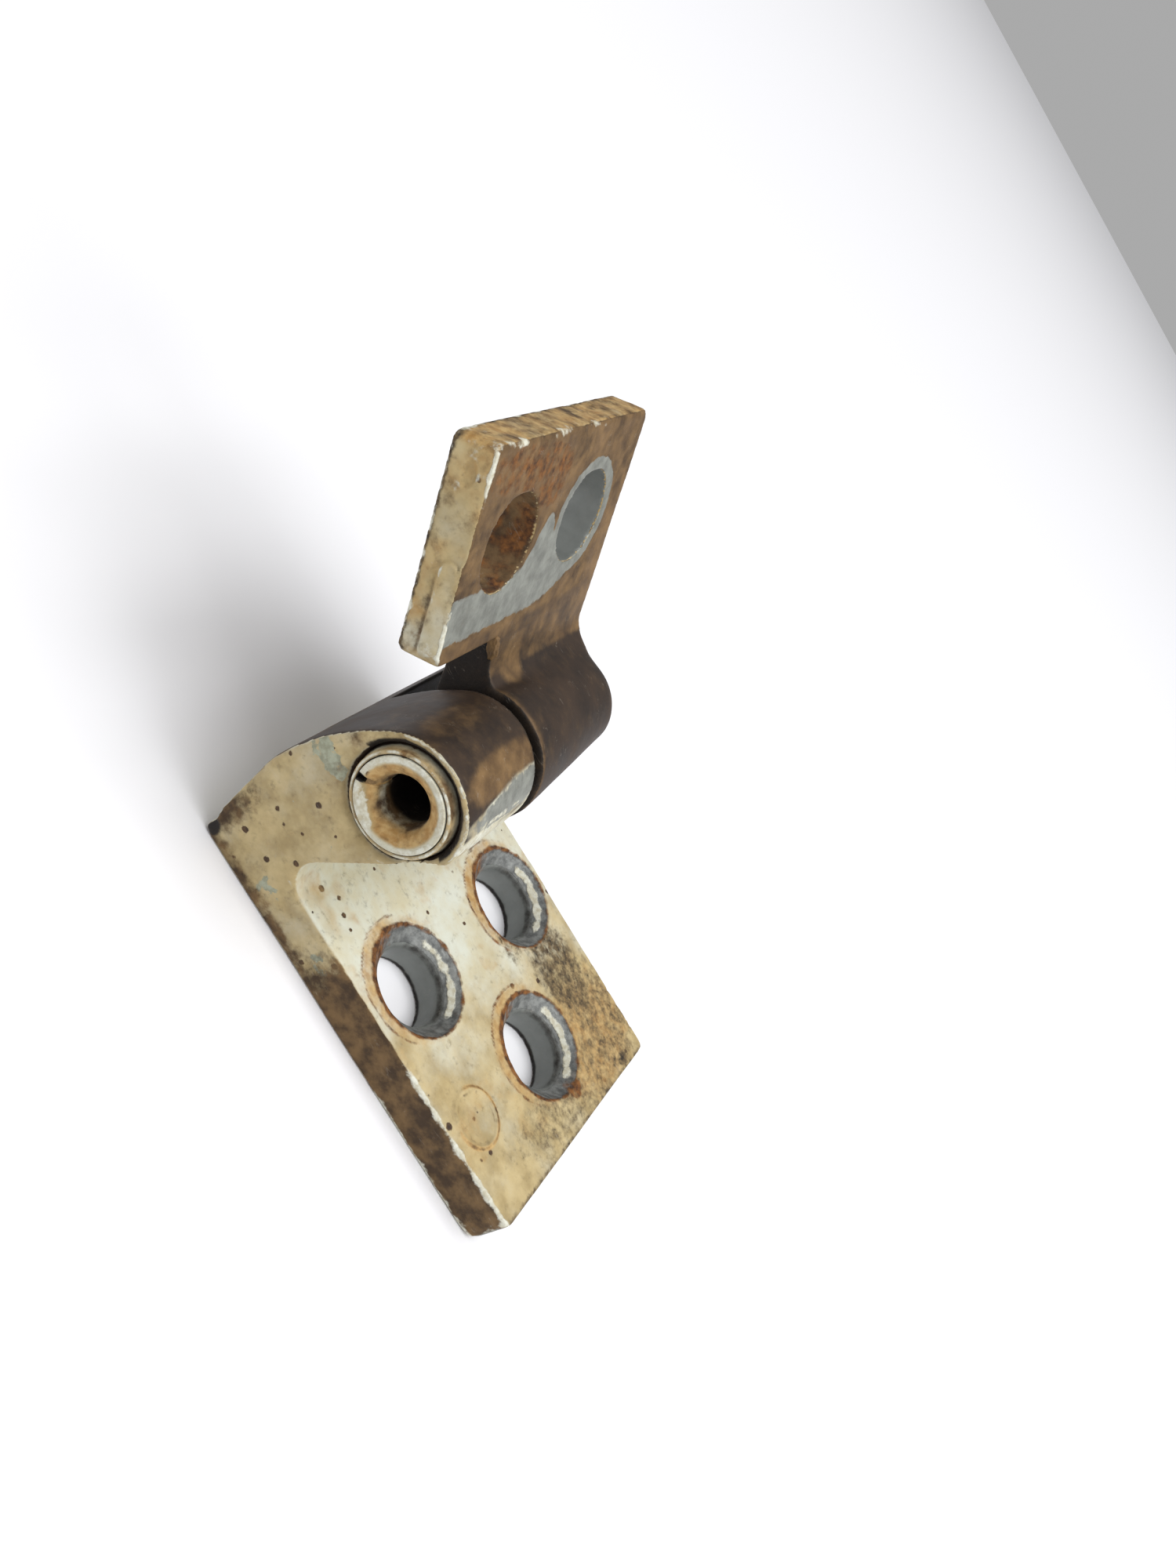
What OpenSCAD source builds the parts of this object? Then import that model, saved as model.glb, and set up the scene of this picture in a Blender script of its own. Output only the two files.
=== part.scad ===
// Two-leaf door hinge. A thick body leaf with three countersunk holes carries the front
// knuckle and its flanged bush. A shorter door leaf, with two oversize bolt holes and the
// tapered rear knuckle, turns on a slotted spring pin.
//
// X runs down the body leaf from the hinge axis, Y runs along the axis from the exposed pin
// end, and Z rises from the body leaf's mounting face, which lies in the plane Z = 0.

/* [Hinge] */
// Length of the hinge along its axis
hinge_len = 50; // [42:1:80]
// Height of the hinge axis above the body leaf's mounting face
axis_z = 30.1; // [27:0.1:40]
// Angle between the two leaves as the hinge stands
leaf_angle = 126.6; // [60:0.1:150]
// Length of the front knuckle, which belongs to the body leaf
front_knuckle_len = 19.1; // [14:0.1:26]
// Space between the two knuckles, filled by the bush's flange
knuckle_gap = 1.2; // [0.8:0.1:2.5]

/* [Pin] */
// Diameter of the slotted spring pin
pin_d = 13; // [10:0.5:14]
// Wall of the spring pin
pin_wall = 3; // [1.5:0.1:3.4]
// Width of the slot along the spring pin
pin_slot = 0.9; // [0.4:0.1:1.5]
// Direction of the slot round the axis, from the body leaf's long direction
pin_slot_angle = 205; // [0:1:359]
// Length of pin that stands out at each end
pin_proud = 0.6; // [0.5:0.1:2]
// Depth of the flared mouth at each end of the pin
pin_mouth = 1.8; // [0.5:0.1:3]

/* [Bush] */
// Wall of the bush round the pin
bush_wall = 1.15; // [0.8:0.05:1.5]
// Radial running clearance between pin and bush
run_clear = 0.04; // [0.02:0.01:0.1]
// Length of bush that stands out of the front knuckle
bush_proud = 0.4; // [0:0.1:0.5]
// Width of the bush's flange beyond its barrel
flange_rim = 0.8; // [0.4:0.1:1]
// End play between the flange and the rear knuckle
end_play = 0.2; // [0.1:0.05:0.4]

/* [Body leaf] */
// Reach of the body leaf from the hinge axis
leaf_reach = 57; // [54:0.5:75]
// Thickness of the body leaf
leaf_t = 7.6; // [6:0.1:9]
// Outer radius of the front knuckle
knuckle_r = 9.45; // [9.2:0.05:12]
// Wall left between the bush and the web's flat inner face
flat_wall = 0.45; // [0.3:0.05:1]
// Lean of the web's inner face from upright
web_lean = 25; // [20:1:30]
// Radius of the fillet between the web and the leaf
web_fillet = 3.8; // [2:0.1:4.5]
// Radius of the web's bulging back
back_r = 36; // [30:1:45]
// Place round the knuckle where the bulging back runs into it
back_blend_angle = 148.5; // [140:0.5:155]
// Undercut of the mounting face's edge behind the web's shoulder
foot_setback = 2.7; // [1:0.1:5]
// Worn radius of the mounting face's edge under the web
foot_round = 1.2; // [0.3:0.1:3]
// Radius of the mounting face's edge at the leaf's far end
end_round = 2.5; // [0.5:0.1:4]
// Radius of the two far corners of the body leaf
leaf_corner = 1.5; // [0.5:0.1:5]
// Space round the rear knuckle in the pocket cut for it
pocket_clear = 4; // [3:0.1:4.5]
// Width of the chamfer round the front knuckle's bore
bore_chamfer = 1; // [0.5:0.1:1.1]

/* [Body leaf holes] */
// Diameter of the three fixing holes
fix_hole_d = 11.8; // [9:0.1:12.5]
// Diameter of their 90 degree countersinks
countersink_d = 16.8; // [14:0.1:18]
// Distance from the hinge axis to the two upper holes
upper_row_x = 23.1; // [20:0.1:28]
// Spacing of the two upper holes
upper_pitch = 28.8; // [22:0.1:30]
// Offset of the hole pattern from the middle of the hinge
pattern_shift = 1.2; // [0:0.1:2]
// Distance from the hinge axis to the lower hole
lower_row_x = 43.1; // [40:0.1:45]
// Offset of the lower hole from the middle of the hinge
lower_hole_y = 2.1; // [-3:0.1:4]

/* [Casting mark] */
// Diameter of the raised ring on the body leaf
ring_d = 8.2; // [5:0.1:9]
// Height and width of the raised ring's section
ring_section = 0.5; // [0.3:0.1:0.8]
// Distance of the ring from the hinge axis
ring_x = 42.8; // [38:0.1:46]
// Distance of the ring from the leaf's front edge
ring_from_edge = 6.5; // [6:0.1:7]

/* [Door leaf] */
// Distance from the hinge axis to the near edge of the door plate
plate_start = 16.4; // [14.5:0.1:20]
// Height of the door plate, away from the axis
plate_reach = 28.4; // [26:0.1:45]
// Thickness of the door plate
plate_t = 5.9; // [5:0.1:8]
// Distance of the plate's mounting face behind the hinge axis
plate_offset = 2.1; // [0.5:0.1:3]
// Distance that the plate's front edge stands back from the hinge's front end
plate_setback = 4; // [0:0.1:6]
// Corner radius of the door plate
plate_corner = 1.5; // [0.5:0.1:4]
// Largest radius of the rear knuckle, next to the gap
rear_knuckle_r = 9.85; // [9.2:0.05:12]
// Narrowing of the rear knuckle's radius towards its far end
rear_taper = 1.65; // [0:0.05:1.8]
// Chamfer round the far end of the rear knuckle
rear_chamfer = 1.2; // [0.3:0.1:1.3]
// Radius of the fillet between the rear knuckle and the plate
door_fillet = 4; // [2:0.1:4.5]
// Diameter of the two bolt holes
bolt_hole_d = 13.2; // [9:0.1:15]
// Spacing of the two bolt holes
bolt_pitch = 21.6; // [18:0.1:30]
// Offset of the bolt holes from the middle of the hinge
bolt_shift = 0.9; // [-1:0.1:2]
// Distance from the hinge axis to the bolt holes
bolt_row = 31; // [28:0.1:34]
// Length of the raised step on the plate's front edge
step_len = 14; // [8:0.1:18]
// Width of the raised step
step_w = 3.4; // [1.5:0.1:4]
// Height of the raised step
step_h = 0.5; // [0.2:0.1:1]

/* [Hidden] */
$fn = 96;
// Extra length that carries a cut past a face
past = 1;
front_y = -hinge_len / 2;
back_y = hinge_len / 2;
split_y = front_y + front_knuckle_len;
rear_y = split_y + knuckle_gap;
pin_r = pin_d / 2;
bush_inner_r = pin_r + run_clear;
bush_r = bush_inner_r + bush_wall;
flat_r = bush_r + flat_wall;
pocket_r = rear_knuckle_r + pocket_clear;
axis = [0, axis_z];
// Centre of the web's bulging back, which touches the knuckle from inside
back_centre = axis + polar(back_r - knuckle_r, back_blend_angle + 180);
shoulder = [back_centre.x - back_r, back_centre.y];
foot = [shoulder.x + foot_setback, 0];
foot_angle = atan2(shoulder.y, shoulder.x - foot.x);
foot_run = foot_round / tan(foot_angle / 2);
// Line where the web's inner face would meet the leaf, and the fillet drawn into that corner
inner_up = [sin(web_lean), cos(web_lean)];
inner_out = [cos(web_lean), -sin(web_lean)];
inner_corner = [(flat_r - (axis_z - leaf_t) * sin(web_lean)) / cos(web_lean), leaf_t];
fillet_run = web_fillet / tan((90 - web_lean) / 2);
fillet_centre = inner_corner + [fillet_run, web_fillet];
countersink_depth = (countersink_d - fix_hole_d) / 2;
// Door leaf section: x away from the axis along the plate, y from the axis to the plate's back
rear_mean_r = rear_knuckle_r - rear_taper / 2;
door_fillet_y = plate_offset - door_fillet;
door_fillet_x = sqrt(pow(rear_mean_r + door_fillet, 2) - pow(door_fillet_y, 2));
plate_back = plate_offset + plate_t;
plate_front_y = front_y + plate_setback;

function polar(r, a) = [r * cos(a), r * sin(a)];

// Stretches a section, drawn as X across and Z up, along the hinge axis
module along_axis(from, to) {
    translate([0, to, 0])
        rotate([90, 0, 0])
            linear_extrude(height = to - from) children();
}

// A round bar or cone on the hinge axis
module on_axis(from, to, r1, r2) {
    translate([0, from, axis_z])
        rotate([-90, 0, 0])
            cylinder(h = to - from, r1 = r1, r2 = r2);
}

// Turns the door leaf's own frame to where the leaf stands
module at_leaf_angle() {
    translate([0, 0, axis_z])
        rotate([0, -leaf_angle, 0]) children();
}

// A rectangle with round corners, from one corner to the opposite one
module rounded_rect(low, high, r) {
    size = high - low;
    translate(low + [r, 0]) square([size.x - 2 * r, size.y]);
    translate(low + [0, r]) square([size.x, size.y - 2 * r]);
    for (x = [low.x + r, high.x - r], y = [low.y + r, high.y - r])
        translate([x, y]) circle(r = r);
}

// The web's section: a bulging back, a leaning flat inner face and a fillet at its foot
module web_section() {
    difference() {
        intersection() {
            translate(back_centre) circle(r = back_r, $fn = 180);
            polygon([
                foot + [foot_run, 0],
                foot + polar(foot_run, foot_angle),
                shoulder,
                [shoulder.x, axis_z],
                axis + polar(knuckle_r, back_blend_angle),
                axis,
                axis + flat_r * inner_out,
                inner_corner + fillet_run * inner_up,
                inner_corner + [fillet_run, 0],
                [inner_corner.x + fillet_run, 0]
            ]);
        }
        translate(fillet_centre) circle(r = web_fillet);
    }
    translate(foot + [foot_run, foot_round]) circle(r = foot_round);
}

// The flat leaf's section, with a round edge at its far end
module leaf_section() {
    inner_x = foot.x + foot_run;
    translate([inner_x, 0]) square([leaf_reach - end_round - inner_x, leaf_t]);
    translate([leaf_reach - end_round, end_round]) {
        square([end_round, leaf_t - end_round]);
        circle(r = end_round);
    }
}

// The flat leaf, with its two far corners rounded
module leaf_plate() {
    intersection() {
        along_axis(front_y, back_y) leaf_section();
        linear_extrude(height = leaf_t)
            rounded_rect([foot.x - leaf_corner, front_y], [leaf_reach, back_y], leaf_corner);
    }
}

// The front knuckle's section, cut flat on the side that faces the leaf
module knuckle_section() {
    difference() {
        translate(axis) circle(r = knuckle_r);
        translate(axis)
            rotate(-web_lean)
                translate([flat_r, -2 * knuckle_r]) square([knuckle_r, 4 * knuckle_r]);
    }
}

// A through hole and its 90 degree countersink
module fixing_hole(x, y) {
    translate([x, y, -past]) cylinder(h = leaf_t + 2 * past, d = fix_hole_d);
    translate([x, y, leaf_t - countersink_depth])
        cylinder(h = countersink_depth + past, d1 = fix_hole_d, d2 = countersink_d + 2 * past);
}

// The plain raised ring on the leaf's face
module casting_ring() {
    translate([ring_x, front_y + ring_from_edge, leaf_t])
        rotate_extrude()
            translate([ring_d / 2, 0]) circle(d = ring_section);
}

// The body leaf: its web carries the front knuckle and makes room for the rear one
module body_leaf() {
    color("antiquewhite") difference() {
        union() {
            along_axis(front_y, split_y) {
                web_section();
                knuckle_section();
            }
            along_axis(split_y, back_y) difference() {
                web_section();
                translate(axis) circle(r = pocket_r);
            }
            leaf_plate();
            casting_ring();
        }
        on_axis(front_y - past, split_y + past, bush_r, bush_r);
        on_axis(front_y - past, front_y + bore_chamfer, bush_r + bore_chamfer + past, bush_r);
        for (side = [-1, 1])
            fixing_hole(upper_row_x, pattern_shift + side * upper_pitch / 2);
        fixing_hole(lower_row_x, lower_hole_y);
    }
}

// Web between the rear knuckle and the plate, with its fillet on the mounting side
module door_web_section() {
    difference() {
        polygon([
            [0, 0],
            rear_mean_r / (rear_mean_r + door_fillet) * [door_fillet_x, door_fillet_y],
            [door_fillet_x, plate_offset],
            [plate_start + plate_corner, plate_offset],
            [plate_start + plate_corner, plate_back],
            [plate_start, plate_back],
            [0, rear_mean_r]
        ]);
        translate([door_fillet_x, door_fillet_y]) circle(r = door_fillet);
    }
}

// The door plate with the raised step on its front edge, in the door leaf's own frame
module door_plate() {
    translate([0, 0, plate_offset])
        linear_extrude(height = plate_t)
            rounded_rect(
                [plate_start, plate_front_y],
                [plate_start + plate_reach, back_y],
                plate_corner
            );
    along_axis(plate_front_y - step_h, plate_front_y + plate_corner)
        translate([plate_start + plate_corner, plate_offset]) {
            square([step_len - plate_corner - step_w / 2, step_w]);
            translate([step_len - plate_corner - step_w / 2, step_w / 2]) circle(d = step_w);
        }
}

// The door leaf: its plate stands on the rear knuckle
module door_leaf() {
    color("sienna") difference() {
        union() {
            at_leaf_angle() {
                door_plate();
                along_axis(rear_y, back_y) door_web_section();
            }
            on_axis(rear_y, back_y - rear_chamfer, rear_knuckle_r, rear_knuckle_r - rear_taper);
            on_axis(
                back_y - rear_chamfer, back_y,
                rear_knuckle_r - rear_taper, rear_knuckle_r - rear_taper - rear_chamfer
            );
        }
        on_axis(rear_y - past, back_y + past, pin_r, pin_r);
        at_leaf_angle()
            for (side = [-1, 1])
                translate([bolt_row, bolt_shift + side * bolt_pitch / 2, plate_offset - past])
                    cylinder(h = plate_t + 2 * past, d = bolt_hole_d);
    }
}

// A slotted tube with a flared mouth at each end
module hinge_pin() {
    low = front_y - pin_proud;
    high = back_y + pin_proud;
    inner_r = pin_r - pin_wall;
    mouth_r = inner_r + pin_wall * 0.6;
    color("silver") difference() {
        on_axis(low, high, pin_r, pin_r);
        on_axis(low - past, high + past, inner_r, inner_r);
        on_axis(low, low + pin_mouth, mouth_r, inner_r);
        on_axis(high - pin_mouth, high, inner_r, mouth_r);
        translate([0, low - past, axis_z])
            rotate([0, -pin_slot_angle, 0])
                translate([0, 0, -pin_slot / 2])
                    cube([pin_d, high - low + 2 * past, pin_slot]);
    }
}

// A sleeve in the front knuckle with a flange in the gap between the knuckles
module knuckle_bush() {
    color("darkgoldenrod") difference() {
        union() {
            on_axis(front_y - bush_proud, rear_y - end_play, bush_r, bush_r);
            on_axis(split_y, rear_y - end_play, bush_r + flange_rim, bush_r + flange_rim);
        }
        on_axis(front_y - bush_proud - past, rear_y + past, bush_inner_r, bush_inner_r);
    }
}

body_leaf();
door_leaf();
hinge_pin();
knuckle_bush();
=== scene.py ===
"""A worn two-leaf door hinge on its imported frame: skins, finishes, floor, light and camera.

Sizes in the classes are millimetres. Meshes, lights and the camera are placed in metres.
"""

import logging
import math
from dataclasses import dataclass, field
from enum import Enum
from typing import NamedTuple, Sequence

import bmesh
import bpy
import numpy as np
from mathutils import Matrix, Vector, noise


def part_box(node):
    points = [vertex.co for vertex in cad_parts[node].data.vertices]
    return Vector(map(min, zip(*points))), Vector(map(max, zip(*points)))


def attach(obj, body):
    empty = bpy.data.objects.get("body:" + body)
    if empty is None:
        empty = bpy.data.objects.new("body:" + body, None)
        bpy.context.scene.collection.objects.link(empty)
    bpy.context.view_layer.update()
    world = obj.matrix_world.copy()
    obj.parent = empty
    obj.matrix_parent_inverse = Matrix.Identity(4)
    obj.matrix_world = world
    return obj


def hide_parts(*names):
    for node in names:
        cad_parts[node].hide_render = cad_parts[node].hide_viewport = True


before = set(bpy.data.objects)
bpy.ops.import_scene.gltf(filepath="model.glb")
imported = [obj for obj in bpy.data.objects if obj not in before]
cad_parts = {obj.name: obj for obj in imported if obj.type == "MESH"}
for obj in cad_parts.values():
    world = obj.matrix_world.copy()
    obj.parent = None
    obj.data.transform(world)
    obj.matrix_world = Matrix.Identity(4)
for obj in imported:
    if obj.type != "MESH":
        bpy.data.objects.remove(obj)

logging.basicConfig(level=logging.INFO, format="%(message)s")
log = logging.getLogger("hinge")

Array = np.ndarray
Pair = tuple[float, float]
Triple = tuple[float, float, float]
Socket = bpy.types.NodeSocket
Tree = bpy.types.NodeTree
Object = bpy.types.Object
Mesh = bpy.types.Mesh
BMesh = bmesh.types.BMesh

MM = 0.001
AXIS_HEIGHT = 30.1
LEAF_ANGLE = math.radians(126.6)
PLATE_UP = np.array([math.cos(LEAF_ANGLE), 0.0, math.sin(LEAF_ANGLE)])
PLATE_OUT = np.array([math.sin(LEAF_ANGLE), 0.0, -math.cos(LEAF_ANGLE)])
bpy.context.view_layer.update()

NOISE_SHIFT = (17.3, 5.1, 9.7)
NOISE_FALL, NOISE_STEP = 0.9, 2.1
AGING_SEED, SPECK_SEED, SCRATCH_SEED = 3.0, 5.0, 7.0
CLEAN_TONES, AGED_TONES, SPECK_TONES, FIRST_COAT = 1, 2, 6, 11
SHARP_ANGLE = 0.5
WORN_BEND = 0.22
BEND_BLURS = 7


class Coat(Enum):
    """The states of a worn casting's surface, each a number from 0 to 1 at every vertex."""

    TINT = "tint"
    STAIN = "stain"
    # Brown grime, and painted shade round the knuckle, in grooves and in inner corners.
    GRIME_AND_SHADE = "grime"
    SOOT = "soot"
    RUST = "rust"
    BARE = "bare"
    GREASE = "grease"
    # Worn golden brown, and a painted sheen spot on the rear knuckle.
    GOLD_AND_SHEEN = "gold"
    # Chalky pale paint, and a painted highlight on the front knuckle's lip.
    CHALK_AND_HIGHLIGHT = "chalk"
    PRIMER = "primer"
    # Near-black: mostly painted shade in bores, the slit, grooves and gaps, and a few dark marks.
    DARK_AND_SHADE = "pitch"
    CONE = "cone"
    BORE = "bore"


# -------- numbers over a surface


def ease(low: float, high: float, value: Array) -> Array:
    """Rises smoothly from 0 at low to 1 at high, or falls where low is the larger."""
    t = np.clip((value - low) / (high - low), 0.0, 1.0)
    return t * t * (3.0 - 2.0 * t)


def bell(centre: float, width: float, value: Array) -> Array:
    """1 at centre, falling to about a third at width on either side."""
    return np.exp(-(((value - centre) / width) ** 2))


def spot(u: Array, v: Array, at: Pair, size: Pair) -> Array:
    """1 inside an ellipse at a centre with two half-lengths, fading to 0 a little outside."""
    return ease(1.35, 0.65, np.hypot((u - at[0]) / size[0], (v - at[1]) / size[1]))


class Stain(NamedTuple):
    """A rounded stain: how strong it is, its centre and its two half-lengths."""

    strength: float
    at: Pair
    size: Pair


def summed(stains: Sequence[Stain], u: Array, v: Array) -> Array:
    """Several stains added up at each vertex."""
    return sum(stain.strength * spot(u, v, stain.at, stain.size) for stain in stains)


def turbulence(points: Array, size: float, octaves: int, seed: int) -> Array:
    """Seeded fractal noise from about -1 to 1.

    Args:
        points: vertices in millimetres.
        size: width of the broadest lumps.
        octaves: number of finer layers.
        seed: picks one pattern.

    Returns:
        The noise at each vertex.
    """
    shift = Vector(NOISE_SHIFT) * seed
    values = [
        noise.fractal(Vector(p) + shift, NOISE_FALL, NOISE_STEP, octaves) for p in points / size
    ]
    return np.array(values, np.float32)


def surface(mesh: Mesh) -> tuple[Array, Array]:
    """Positions in millimetres and normals of a mesh's vertices.

    Args:
        mesh: the mesh.

    Returns:
        Two rows of three numbers a vertex.
    """
    places = np.empty(len(mesh.vertices) * 3, np.float32)
    mesh.vertices.foreach_get("co", places)
    normals = np.empty_like(places)
    mesh.vertex_normals.foreach_get("vector", normals)
    return places.reshape(-1, 3) / MM, normals.reshape(-1, 3)


def bend_of(mesh: Mesh, points: Array, normals: Array) -> Array:
    """How sharply the surface bends: above 0 on outer edges, below 0 in corners.

    Args:
        mesh: the skin.
        points: its vertices in millimetres.
        normals: their normals.

    Returns:
        About 1 on a worn outer edge and -1 in a tight inner corner.
    """
    ends = np.empty(len(mesh.edges) * 2, np.int32)
    mesh.edges.foreach_get("vertices", ends)
    a, b = ends.reshape(-1, 2).T
    count = np.bincount(ends, minlength=len(points))
    gap = points[b] - points[a]
    length = np.maximum(np.linalg.norm(gap, axis=1), 1e-6)
    bend = np.zeros(len(points))
    np.add.at(bend, a, -(gap * normals[a]).sum(1) / length**2)
    np.add.at(bend, b, (gap * normals[b]).sum(1) / length**2)
    bend /= count
    for _ in range(BEND_BLURS):
        total = np.zeros(len(points))
        np.add.at(total, a, bend[b])
        np.add.at(total, b, bend[a])
        bend = 0.4 * bend + 0.6 * total / count
    return np.clip(bend / WORN_BEND, -1.5, 1.5)


# -------- shader nodes


class Nodes:
    """Adds nodes to one tree; each method gives back the socket that carries its result."""

    def __init__(self, tree: Tree) -> None:
        """Starts on a tree that may already hold nodes."""
        self.tree = tree

    def feed(self, socket: Socket, value: object) -> None:
        """Links a socket to another, or sets its number or colour.

        Args:
            socket: the input to feed.
            value: a socket, a number, a vector or a colour.
        """
        if isinstance(value, bpy.types.NodeSocket):
            self.tree.links.new(value, socket)
        elif isinstance(value, tuple) and len(socket.default_value) == 4:
            socket.default_value = (*value, 1.0)
        else:
            socket.default_value = value

    def add(self, kind: str, inputs: dict, **settings: object) -> bpy.types.Node:
        """Adds a node.

        Args:
            kind: its type, without the first word that all shader nodes share.
            inputs: what feeds each input, by its name or number.
            **settings: the node's own properties.

        Returns:
            The node.
        """
        node = self.tree.nodes.new("ShaderNode" + kind)
        for name, value in settings.items():
            setattr(node, name, value)
        for name, value in inputs.items():
            self.feed(node.inputs[name], value)
        return node

    def maths(self, operation: str, first: object, second: object) -> Socket:
        """One step of arithmetic."""
        return self.add("Math", {0: first, 1: second}, operation=operation).outputs[0]

    def grade(self, value: object, low: object, high: object) -> Socket:
        """A smooth step from 0 at low to 1 at high."""
        inputs = {"Value": value, "From Min": low, "From Max": high}
        return self.add("MapRange", inputs, interpolation_type="SMOOTHSTEP").outputs[0]

    def around_half(self, value: object, width: object) -> Socket:
        """A smooth step centred on a half, and as wide on either side."""
        low, high = self.maths("SUBTRACT", 0.5, width), self.maths("ADD", 0.5, width)
        return self.grade(value, low, high)

    def mix(self, factor: object, first: object, second: object) -> Socket:
        """Blends two colours."""
        return self.add("Mix", {0: factor, 6: first, 7: second}, data_type="RGBA").outputs[2]

    def mix_value(self, factor: object, first: object, second: object) -> Socket:
        """Blends two numbers."""
        return self.add("Mix", {0: factor, 2: first, 3: second}, data_type="FLOAT").outputs[0]

    def shift(self, vector: Socket, seed: object) -> Socket:
        """Moves a vector to another part of the noise."""
        inputs = {0: NOISE_SHIFT, 1: (seed,) * 3 if isinstance(seed, float) else seed, 2: vector}
        return self.add("VectorMath", inputs, operation="MULTIPLY_ADD").outputs[0]

    def noise(self, vector: Socket, size: object, detail: float = 5.0) -> Socket:
        """Fractal noise whose broadest lumps are about size wide."""
        inputs = {"Vector": vector, "Scale": self.maths("DIVIDE", 1.0, size)}
        return self.add("TexNoise", inputs | {"Detail": detail, "Roughness": 0.6}).outputs["Fac"]

    def call(self, group: Tree, **inputs: object) -> Socket:
        """Places a group, feeds its named inputs and gives its one output."""
        return self.add("Group", inputs, node_tree=group).outputs[0]


def start_group(name: str, inputs: Sequence[str]) -> tuple[Nodes, dict[str, Socket], Socket]:
    """Makes an empty shader group whose first input is a vector and the rest are numbers.

    Args:
        name: the group's name.
        inputs: names of its inputs after Vector.

    Returns:
        The node writer, the inputs by name, and the one output to feed.
    """
    tree = bpy.data.node_groups.new(name, "ShaderNodeTree")
    tree.interface.new_socket(name="Vector", in_out="INPUT", socket_type="NodeSocketVector")
    for text in inputs:
        tree.interface.new_socket(name=text, in_out="INPUT", socket_type="NodeSocketFloat")
    tree.interface.new_socket(name="Mask", in_out="OUTPUT", socket_type="NodeSocketFloat")
    entry = tree.nodes.new("NodeGroupInput")
    leave = tree.nodes.new("NodeGroupOutput")
    return Nodes(tree), {s.name: s for s in entry.outputs if s.name}, leave.inputs[0]


class Effects:
    """The shader groups that every material here shares."""

    def __init__(self) -> None:
        """Builds the groups once."""
        self._make_ragged()
        self._make_mottle()
        self._make_specks()
        self._make_scratches()

    def _make_ragged(self) -> None:
        """A coat's ragged outline: where its spread and a noise together pass a half."""
        n, given, out = start_group(
            "ragged_edge", ("Spread", "Size", "Raggedness", "Softness", "Seed")
        )
        lumps = n.noise(n.shift(given["Vector"], given["Seed"]), given["Size"])
        swing = n.maths("MULTIPLY", n.maths("SUBTRACT", lumps, 0.5), given["Raggedness"])
        n.feed(out, n.around_half(n.maths("ADD", given["Spread"], swing), given["Softness"]))
        self.ragged = n.tree

    def _make_mottle(self) -> None:
        """Patchy variation between two tones."""
        n, given, out = start_group("mottle", ("Size", "Contrast", "Seed"))
        lumps = n.noise(n.shift(given["Vector"], given["Seed"]), given["Size"])
        n.feed(out, n.around_half(lumps, n.maths("DIVIDE", 0.5, given["Contrast"])))
        self.mottle = n.tree

    def _make_specks(self) -> None:
        """Scattered round specks of many sizes, a few of them large."""
        n, given, out = start_group("specks", ("Spacing", "Largest", "Seed"))
        place = n.shift(given["Vector"], given["Seed"])
        scale = n.maths("DIVIDE", 1.0, given["Spacing"])
        cells = n.add("TexVoronoi", {"Vector": place, "Scale": scale})
        chance = n.add("SeparateColor", {0: cells.outputs["Color"]}).outputs[0]
        radius = n.maths("MULTIPLY", n.maths("POWER", chance, 2.6), given["Largest"])
        wobble = n.maths("MULTIPLY", n.noise(given["Vector"], 0.4), 0.4)
        away = n.maths("MULTIPLY", cells.outputs["Distance"], given["Spacing"])
        away = n.maths("ADD", away, wobble)
        n.feed(out, n.grade(n.maths("SUBTRACT", radius, away), -0.12, 0.05))
        self.specks = n.tree

    def _make_scratches(self) -> None:
        """Thin broken lines along the vector's first direction."""
        n, given, out = start_group("scratches", ("Length", "Spacing", "Seed"))
        parts = n.add("SeparateXYZ", {0: n.shift(given["Vector"], given["Seed"])}).outputs
        sizes = (given["Length"], given["Spacing"], given["Spacing"])
        drawn = {i: n.maths("DIVIDE", parts[i], size) for i, size in enumerate(sizes)}
        lines = n.noise(n.add("CombineXYZ", drawn).outputs[0], 1.0, 2.0)
        ridge = n.maths("ABSOLUTE", n.maths("SUBTRACT", lines, 0.5), 0.0)
        breaks = n.grade(n.noise(given["Vector"], 2.4), 0.52, 0.66)
        n.feed(out, n.maths("MULTIPLY", n.grade(ridge, 0.012, 0.0), breaks))
        self.scratches = n.tree


@dataclass(frozen=True)
class Finish:
    """One coat of a surface: two tones, their patch size, its sheen, and how it stands."""

    light: Triple
    dark: Triple
    roughness: float
    metallic: float = 0.0
    patch: float = 2.5
    contrast: float = 2.6
    relief: float = 0.0
    grain: float = 0.02
    grain_size: float = 0.5
    ragged: float = 1.0
    ragged_size: float = 2.0
    softness: float = 0.05


@dataclass(frozen=True)
class Palette:
    """The finishes of one worn piece, from the paint up."""

    clean: Finish
    aged: Finish
    coats: dict[Coat, Finish] = field(default_factory=dict)
    speck: Finish | None = None
    speck_spacing: float = 2.4
    speck_largest: float = 0.80
    aging_edge: Triple = (6.0, 0.9, 0.42)
    scratched: float = 0.0
    scratch_tone: Triple = (0.42, 0.37, 0.30)
    scratch_length: float = 9.0
    scratch_spacing: float = 1.3
    gloss: float = 0.3


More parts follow.
